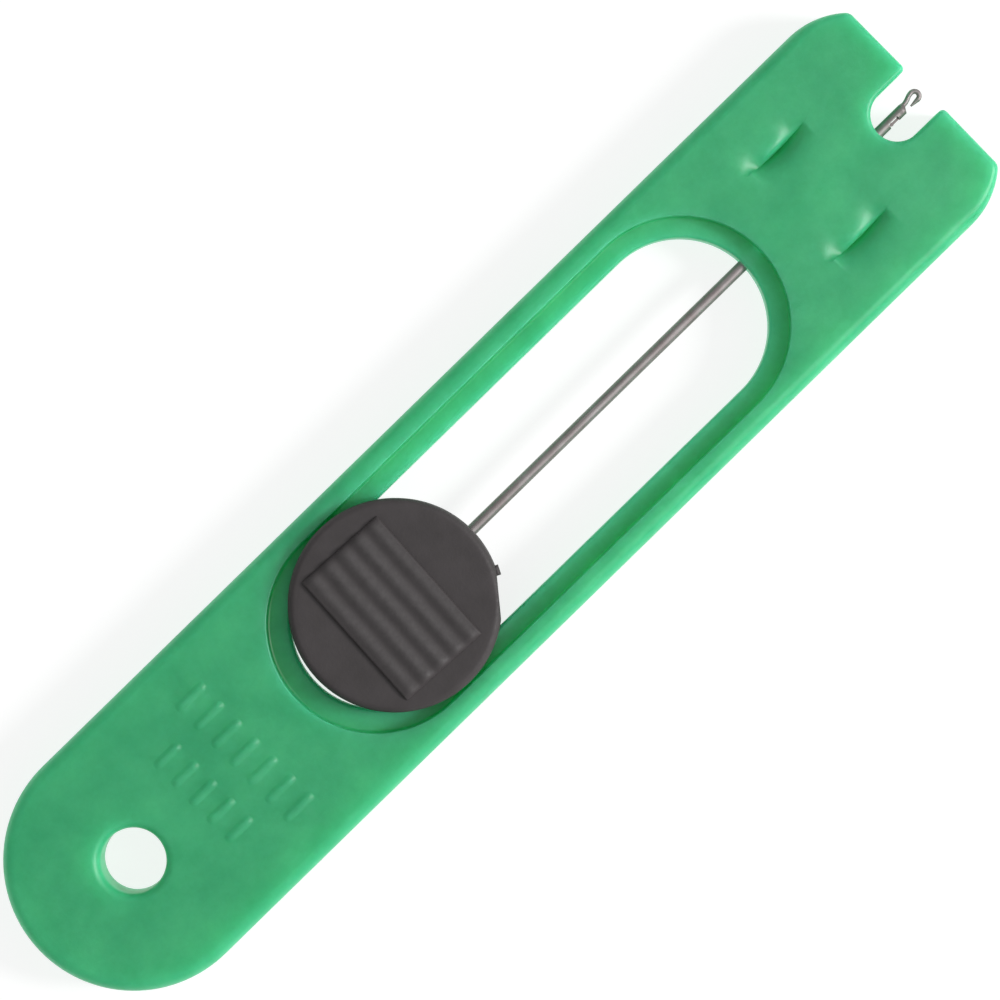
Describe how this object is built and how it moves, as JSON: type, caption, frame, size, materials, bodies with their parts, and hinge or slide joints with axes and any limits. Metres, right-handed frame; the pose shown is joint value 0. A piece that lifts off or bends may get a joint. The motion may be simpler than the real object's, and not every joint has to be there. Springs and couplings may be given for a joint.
{
  "type": "retractable splicing needle",
  "caption": "Flat plastic hand tool with a hang hole, a window and a ribbed thumb slide that pushes a wire latch needle out through a notch in its head.",
  "frame": {"origin": "on the handle's back face, midway along and across the handle", "axes": "+X along the tool towards the needle tip, +Y across it, +Z out of the thumb face"},
  "size_m": [0.0942, 0.02, 0.0055],
  "materials": {
    "green_plastic": "satin moulded polypropylene, slightly translucent green",
    "dark_plastic": "semi-matt dark warm grey",
    "needle_steel": "drawn wire, bright"
  },
  "bodies": {
    "handle": {"handle": "green_plastic"},
    "slide": {"thumb_button": "dark_plastic", "rear_button": "dark_plastic", "needle": "needle_steel", "latch_rivet": "needle_steel"},
    "latch": {"needle_latch": "needle_steel"}
  },
  "joints": [
    {"name": "needle_slide", "type": "slide", "parent": "handle", "child": "slide", "axis": [1, 0, 0], "range_m": [-0.0002, 0.0288]},
    {"name": "latch_pivot", "type": "hinge", "parent": "slide", "child": "latch", "pos_m": [0.0448, -0.0001, 0.002], "axis": [0, 0, 1], "range_deg": [0, 147]}
  ]
}
